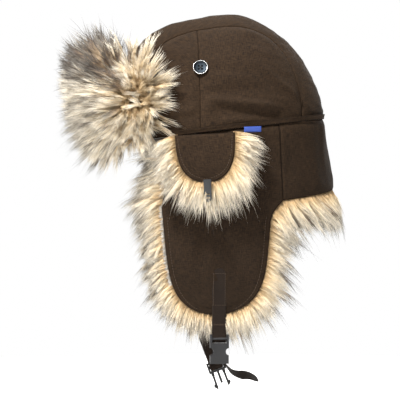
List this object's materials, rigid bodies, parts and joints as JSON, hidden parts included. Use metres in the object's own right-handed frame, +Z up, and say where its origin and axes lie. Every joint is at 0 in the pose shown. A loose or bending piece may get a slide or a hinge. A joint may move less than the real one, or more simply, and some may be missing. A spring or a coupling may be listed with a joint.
{
  "type": "trapper hat",
  "caption": "Trapper hat with a quilted crown, fur-faced visor, buttoned ear covers, fur-lined ear flaps and a side-release chin strap.",
  "frame": {"origin": "middle of the head opening, level with the seam between the crown and the skirt", "axes": "+Z up, -Y the way the hat faces, +X the wearer's left"},
  "size_m": [0.209, 0.3035, 0.418],
  "materials": {
    "outer_fabric": "matte waxed poplin, dark brown",
    "faux_fur": "long pile fur, cream with brown roots and dark tips",
    "wadding": "matte fibre wadding",
    "satin_lining": "soft satin",
    "button_metal": "satin with a bright rim",
    "thread": "matte thread",
    "woven_tag": "woven ribbon",
    "stiffener": "matte foam board",
    "tab_rubber": "matte rubber",
    "webbing": "folded fabric strap",
    "buckle_plastic": "moulded acetal, fine texture"
  },
  "bodies": {
    "hat_body": {"crown_center_panel": "outer_fabric", "crown_front_panel_left": "outer_fabric", "crown_front_panel_right": "outer_fabric", "crown_back_panel_left": "outer_fabric", "crown_back_panel_right": "outer_fabric", "crown_wadding": "wadding", "crown_lining": "satin_lining", "sweatband": "satin_lining", "seam_band": "outer_fabric", "crown_button_left": "button_metal", "crown_button_right": "button_metal", "button_threads": "thread", "side_tag": "woven_tag", "ear_panel_left": "outer_fabric", "ear_panel_right": "outer_fabric", "neck_curtain": "outer_fabric", "neck_fur": "faux_fur", "ear_panel_fur_left": "faux_fur", "ear_panel_fur_right": "faux_fur"},
    "visor": {"visor_shell": "outer_fabric", "visor_board": "stiffener", "visor_fur": "faux_fur"},
    "ear_cover_left": {"ear_cover_shell_left": "outer_fabric", "ear_cover_fur_left": "faux_fur", "button_tab_left": "tab_rubber"},
    "ear_cover_right": {"ear_cover_shell_right": "outer_fabric", "ear_cover_fur_right": "faux_fur", "button_tab_right": "tab_rubber"},
    "ear_flap_left": {"ear_flap_shell_left": "outer_fabric", "ear_flap_wadding_left": "wadding", "ear_flap_fur_left": "faux_fur", "strap_anchor_left": "webbing"},
    "ear_flap_right": {"ear_flap_shell_right": "outer_fabric", "ear_flap_wadding_right": "wadding", "ear_flap_fur_right": "faux_fur", "strap_anchor_right": "webbing"},
    "strap_left": {"chin_strap_left": "webbing", "buckle_socket": "buckle_plastic"},
    "strap_right": {"chin_strap_right": "webbing", "buckle_plug": "buckle_plastic", "strap_tail": "webbing"},
    "latch_front": {"buckle_latch_front": "buckle_plastic"},
    "latch_back": {"buckle_latch_back": "buckle_plastic"}
  },
  "joints": [
    {"name": "visor_fold", "type": "hinge", "parent": "hat_body", "child": "visor", "pos_m": [0, -0.106, -0.014], "axis": [1, 0, 0], "range_deg": [0, 100]},
    {"name": "ear_cover_left_lift", "type": "hinge", "parent": "hat_body", "child": "ear_cover_left", "pos_m": [0.08927, -0.03, -0.00554], "axis": [-0.113, -0.9922, -0.0523], "range_deg": [0, 176]},
    {"name": "ear_cover_right_lift", "type": "hinge", "parent": "hat_body", "child": "ear_cover_right", "pos_m": [-0.08927, -0.03, -0.00554], "axis": [-0.113, 0.9922, 0.0523], "range_deg": [0, 176]},
    {"name": "ear_flap_left_fold", "type": "hinge", "parent": "hat_body", "child": "ear_flap_left", "pos_m": [0.0955, -0.018, -0.084], "axis": [0, -1, 0], "range_deg": [0, 175]},
    {"name": "ear_flap_right_fold", "type": "hinge", "parent": "hat_body", "child": "ear_flap_right", "pos_m": [-0.0955, -0.018, -0.084], "axis": [0, 1, 0], "range_deg": [0, 175]},
    {"name": "strap_left_swing", "type": "hinge", "parent": "ear_flap_left", "child": "strap_left", "pos_m": [0.0816, -0.014, -0.199], "axis": [0, -1, 0], "range_deg": [-8, 40]},
    {"name": "strap_right_swing", "type": "hinge", "parent": "ear_flap_right", "child": "strap_right", "pos_m": [-0.0816, -0.014, -0.199], "axis": [0, 1, 0], "range_deg": [-8, 40]},
    {"name": "latch_front_squeeze", "type": "hinge", "parent": "strap_right", "child": "latch_front", "pos_m": [-0.0816, -0.00543, -0.27585], "axis": [1, 0, 0], "range_deg": [0, 8], "stiffness_Nm_per_rad": 0.02},
    {"name": "latch_back_squeeze", "type": "hinge", "parent": "strap_right", "child": "latch_back", "pos_m": [-0.0816, 0.00698, -0.27134], "axis": [-1, 0, 0], "range_deg": [0, 8], "stiffness_Nm_per_rad": 0.02}
  ],
  "couplings": [
    {"joint": "latch_back_squeeze", "follows": "latch_front_squeeze", "ratio": 1}
  ]
}
